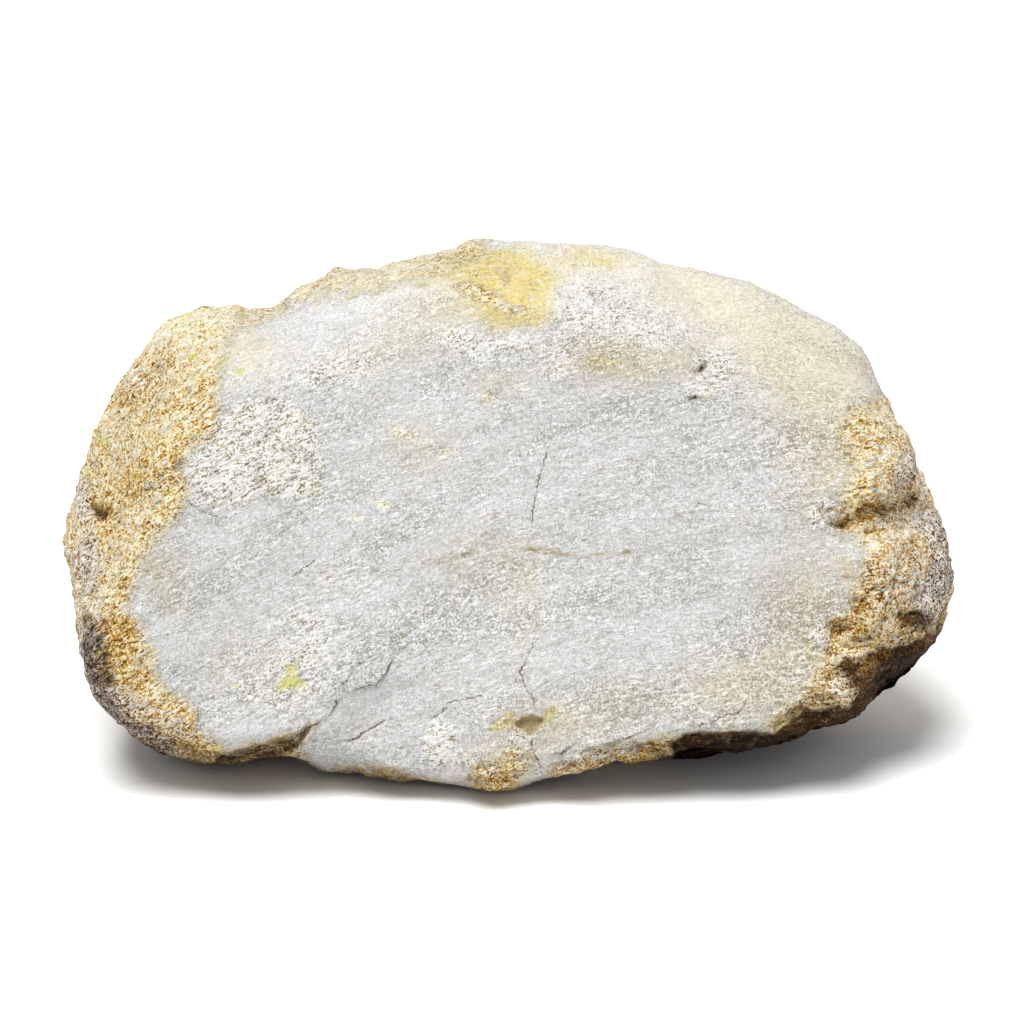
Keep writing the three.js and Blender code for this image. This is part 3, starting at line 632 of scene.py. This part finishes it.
def add(kind, inputs, stops=(), **settings):
    """Adds one node: its inputs as values or other nodes, its colour stops, its settings."""
    made = quartz.node_tree.nodes.new(kind)
    for name, value in settings.items():
        setattr(made, name, value)
    for name, value in inputs.items():
        if isinstance(value, bpy.types.Node):
            value = value.outputs[0]
        if isinstance(value, bpy.types.NodeSocket):
            quartz.node_tree.links.new(value, made.inputs[name])
        else:
            made.inputs[name].default_value = value
    if stops:
        while len(made.color_ramp.elements) < len(stops):
            made.color_ramp.elements.new(0.5)
        for element, (place, code) in zip(made.color_ramp.elements, stops):
            element.position = place
            element.color = linear(code)
    return made


# Places in millimetres: as they are, drawn out along the layers, and both bent a little so that
# grains don't have straight sides.
place = add("ShaderNodeTexCoord", {}).outputs["Object"]
place = add("ShaderNodeVectorMath", {0: place, "Scale": 1000}, operation="SCALE")
layers = add("ShaderNodeAttribute", {}, attribute_name="layered").outputs["Vector"]
bend = add("ShaderNodeTexNoise", {"Vector": place, "Scale": 1 / 1.4, "Detail": 2})
bend = add("ShaderNodeVectorMath", {0: bend.outputs["Color"], "Scale": 0.5}, operation="SCALE")
bent = add("ShaderNodeVectorMath", {0: bend, 1: place}, operation="ADD")
bent_layers = add("ShaderNodeVectorMath", {0: bend, 1: layers}, operation="ADD")

# The patterns, each from 0 to 1 with its middle at 0.5: (name, where, size in millimetres, detail,
# roughness of the noise). Cells of random shade have no detail. The real crystals are 0.1 to 1 mm
# across; the finest are too fine to show and are drawn at 0.45 mm.
pattern = {}
for name, where, size, detail, rough in (
        ("clouds", layers, 14, 4, 0.6), ("coarse", place, 5, 5, 0.72), ("strokes", layers, 1.1, 4, 0.8),
        ("specks", place, 0.9, 3, 0.85), ("crumb", bent_layers, 0.9, 2, 0.6),
        ("wave", bent_layers, 3.0, 2, 0.65), ("crystals", bent_layers, 0.55, 0, 0),
        ("clots", bent, 1.3, 0, 0), ("dust", place, 0.45, 0, 0)):
    if detail:
        pattern[name] = add("ShaderNodeTexNoise", {"Vector": where, "Scale": 1 / size,
                                                   "Detail": detail, "Roughness": rough})
    else:
        cells = add("ShaderNodeTexVoronoi", {"Vector": where, "Scale": 1 / size})
        pattern[name] = cells.outputs["Color"]
flakes = add("ShaderNodeTexNoise", {"Vector": layers, "Scale": 1 / 7, "Detail": 3,
                                    "Roughness": 0.6})
pattern["flakes"] = add("ShaderNodeMath", {0: flakes, 1: 0.055}, operation="SNAP")

# Creases run where the wave crosses its middle: 0 on a crease, more on both sides of it.
creases = add("ShaderNodeMath", {0: pattern["wave"], 1: 6, 2: -3}, operation="MULTIPLY_ADD")
pattern["creases"] = add("ShaderNodeMath", {0: creases}, operation="ABSOLUTE")
mark = {name: add("ShaderNodeAttribute", {}, attribute_name=name).outputs["Fac"] for name in marks}

# The coats, from the bare break outwards. A coat's tone runs along its colours, and its cover from
# none at 0 to all at 1: each is (start, how much of each mark, how much of each pattern).
break_colours = [(0.00, "#A9A69F"), (0.25, "#C9C8C5"), (0.50, "#E0E0E1"), (0.72, "#F4F4F5"),
                 (0.90, "#FFFFFF")]
rind_tone = (0.0, {"pale": 1.0, "coarse": 1.2, "clouds": 0.7, "clots": 0.25, "specks": 0.7,
                   "strokes": 0.9, "crystals": 0.9, "dust": 1.2})
coats = [
    ("break", "MIX", 1.0, (1.0, {}),
     (0.39, {"bleach_and_top_light": 0.36, "clouds": 0.6, "coarse": 0.5, "strokes": 1.0, "specks": 0.7,
             "crystals": 0.55, "dust": 1.15}),
     break_colours),
    ("calm", "MIX", 0.7, (0.75, {"chalk": -0.5, "cream": -0.3, "clouds": 5.0, "coarse": 4.0}),
     (0.39, {"bleach_and_top_light": 0.36, "clouds": 0.6, "coarse": 0.6, "strokes": 0.4, "dust": 0.3}),
     break_colours),
    ("warmth", "MULTIPLY", 1.0, (0.0, {"warm": 1.0, "coarse": 0.8}), None, "#F9F0D6"),
    ("gilding", "MULTIPLY", 1.0, (-0.55, {"gild": 1.5, "coarse": 1.8, "strokes": 0.8}), None,
     "#F8E8A8"),
    ("bloom", "MIX", 1.0, (-0.90, {"cream": 1.2, "coarse": 2.8, "specks": 1.6, "strokes": 1.0}),
     (0.55, {"bleach_and_top_light": 0.20, "coarse": 0.8, "specks": 1.0, "strokes": 1.5, "dust": 1.6,
             "crystals": 1.1}),
     [(0.00, "#A8966A"), (0.25, "#D2C596"), (0.50, "#EEE4BE"), (0.72, "#FAF4D8"),
      (0.90, "#FFFEF2")]),
    ("chalk", "MIX", 1.0, (-0.25, {"chalk": 1.25, "coarse": 2.5, "clots": 0.4, "strokes": 1.2}),
     (0.63, {"bleach_and_top_light": 0.3, "strokes": 1.6, "specks": 1.7, "dust": 2.2, "crystals": 1.4}),
     [(0.00, "#8C7E60"), (0.20, "#BCB090"), (0.40, "#DED6C0"), (0.60, "#F5EFDE"),
      (0.80, "#FFFEFA")]),
    ("rind", "MIX", 1.0, (0.50, {"rind": 0.30, "coarse": 2.2, "strokes": 1.3, "crystals": 0.4}),
     rind_tone,
     [(0.00, "#744E16"), (0.15, "#9E7228"), (0.30, "#C29346"), (0.45, "#DAB060"),
      (0.60, "#E9CA80"), (0.75, "#F6E4AA"), (0.92, "#FFFAE2")]),
    ("tan", "MIX", 1.0, (-1.4, {"tan": 1.3, "rind coat": 1.3, "coarse": 1.5}),
     rind_tone,
     [(0.00, "#5A3C1A"), (0.15, "#8E6A3C"), (0.30, "#BA8E54"), (0.45, "#D9AE74"),
      (0.60, "#EACD9C"), (0.75, "#F9E6C0"), (0.92, "#FFFBEC")]),
    ("grit", "MIX", 1.0, (-1.3, {"grit": 1.5, "rind coat": 1.2, "coarse": 1.6, "clots": 0.4}),
     (0.0, {"pale": 1.0, "coarse": 0.6, "clots": 0.4, "specks": 1.2, "strokes": 1.4,
            "crystals": 1.4, "dust": 1.6}),
     [(0.00, "#4A301C"), (0.15, "#7A583A"), (0.30, "#A28260"), (0.45, "#C6A888"),
      (0.60, "#E2CCB0"), (0.75, "#F6EAD8"), (0.90, "#FFFDF6")]),
    ("crumbs", "MIX", 0.9, (-1.5, {"chalk": 1.3, "cream": 0.3, "grit": 0.6, "rind coat": -0.2,
                                   "crumb": 12.0, "coarse": 5.0}), None, "#FFFFFF"),
    ("gaps", "MULTIPLY", 0.7, (-5.0, {"chalk": 0.5, "cream": 0.3, "rind coat": 0.6,
                                      "creases": -10.0, "coarse": 4.0}), None, "#A88F60"),
    ("stain", "MIX", 0.9, (-0.33, {"stain": 1.1, "coarse": 1.55, "strokes": 1.3}), None,
     "#A8935C"),
    ("lichen", "MIX", 0.8, (-0.47, {"lichen": 1.33, "specks": 3.2, "crystals": 0.6}), None,
     "#DBD850"),
    # Dark earth, and painted shade where the mark carries it.
    ("soil_and_painted_shade", "MIX", 1.0, (-0.1, {"soil_and_painted_shade": 1.15, "coarse": 2.0, "strokes": 1.0}),
     (-0.42, {"pale": 1.15, "coarse": 1.1, "specks": 0.7, "crystals": 0.4, "dust": 0.8}),
     [(0.00, "#24150A"), (0.30, "#4A3114"), (0.55, "#735226"), (0.80, "#9C7A45"),
      (1.00, "#C0A070")]),
    ("seam_and_ledge_shadow", "MULTIPLY", 1.0, (-0.55, {"seam_and_ledge_shadow": 2.2, "specks": 3.1}), None, "#8C7856")]

source = {**pattern, **mark}
colour = None
for name, blend, most, cover, tone, colours in coats:
    amounts = []
    for start, shares in [part for part in (cover, tone) if part]:
        amount = start - sum(times for each, times in shares.items() if each in pattern) / 2
        for each, times in shares.items():
            amount = add("ShaderNodeMath", {0: source[each], 1: times, 2: amount},
                         operation="MULTIPLY_ADD")
        amounts.append(amount)
    upper = add("ShaderNodeValToRGB", {"Fac": amounts[1]}, colours) if tone else linear(colours)
    if colour is None:
        colour = upper
        continue
    part = add("ShaderNodeMapRange", {"Value": amounts[0], "To Max": most})
    source[name + " coat"] = part
    colour = add("ShaderNodeMixRGB", {"Fac": part, "Color1": colour, "Color2": upper},
                 blend_type=blend)
quartz.node_tree.links.new(colour.outputs[0], shader.inputs["Base Color"])

# The break is half matt and the rind quite matt: both are so rough that most of what they would
# mirror is lost between the grains. Crumbs stand up where it is chalky or rusted.
dull = add("ShaderNodeMapRange", {"Value": source["rind coat"], "To Min": 0.5, "To Max": 0.85})
quartz.node_tree.links.new(dull.outputs[0], shader.inputs["Roughness"])
shader.inputs["IOR"].default_value = 1.544
shader.inputs["Specular IOR Level"].default_value = 0.12
rough = add("ShaderNodeMath", {0: mark["chalk"], 1: 0.9, 2: 0.5}, operation="MULTIPLY_ADD")
rough = add("ShaderNodeMath", {0: source["rind coat"], 1: 1.1, 2: rough}, operation="MULTIPLY_ADD")
relief = add("ShaderNodeMath", {0: pattern["creases"], 1: 0.4, 2: pattern["crumb"]},
             operation="MULTIPLY_ADD")
relief = add("ShaderNodeMath", {0: relief, 1: rough}, operation="MULTIPLY")
for each, times in (("flakes", 6.0), ("strokes", 1.0), ("specks", 0.8), ("crystals", 0.4),
                    ("clots", 0.5), ("dust", 0.5)):
    relief = add("ShaderNodeMath", {0: pattern[each], 1: times, 2: relief},
                 operation="MULTIPLY_ADD")
bump = add("ShaderNodeBump", {"Height": relief, "Strength": 1.0, "Distance": 0.0009})
quartz.node_tree.links.new(bump.outputs[0], shader.inputs["Normal"])
stone.data.materials.clear()
stone.data.materials.append(quartz)

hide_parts("stone")
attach(stone, "root")

# The floor: a plain pale studio floor under the stone, matt.
bpy.ops.mesh.primitive_plane_add(size=60)
floor = bpy.context.object
floor.name = "floor"
paper = bpy.data.materials.new("pale_matt_paper")
paper.use_nodes = True
paper.node_tree.nodes["Principled BSDF"].inputs["Base Color"].default_value = linear("#F4F4F3")
paper.node_tree.nodes["Principled BSDF"].inputs["Roughness"].default_value = 0.9
floor.data.materials.append(paper)

# The light: one broad soft light from above and a little in front, and an even white room.
bpy.ops.object.light_add(type="SUN")
panel = bpy.context.object
panel.name = "soft_top_light"
panel.data.energy = 3.5
panel.data.angle = math.radians(30)
panel.rotation_euler = Vector((0.16, 0.32, -1)).to_track_quat("-Z", "Y").to_euler()
room = bpy.data.worlds.new("white_room")
room.use_nodes = True
room.node_tree.nodes["Background"].inputs["Color"].default_value = (1, 1, 1, 1)
room.node_tree.nodes["Background"].inputs["Strength"].default_value = 0.56
bpy.context.scene.world = room
bpy.context.scene.view_settings.view_transform = "Standard"

# The camera looks square on at the leaning face.
bpy.ops.object.camera_add(location=Vector(eye) / 1000)
camera = bpy.context.object
camera.data.lens = lens
camera.data.sensor_width = sensor
camera.data.clip_start = 0.05
camera.data.clip_end = 20
camera.rotation_euler = Vector(-to_front).to_track_quat("-Z", "Y").to_euler()
bpy.context.scene.camera = camera
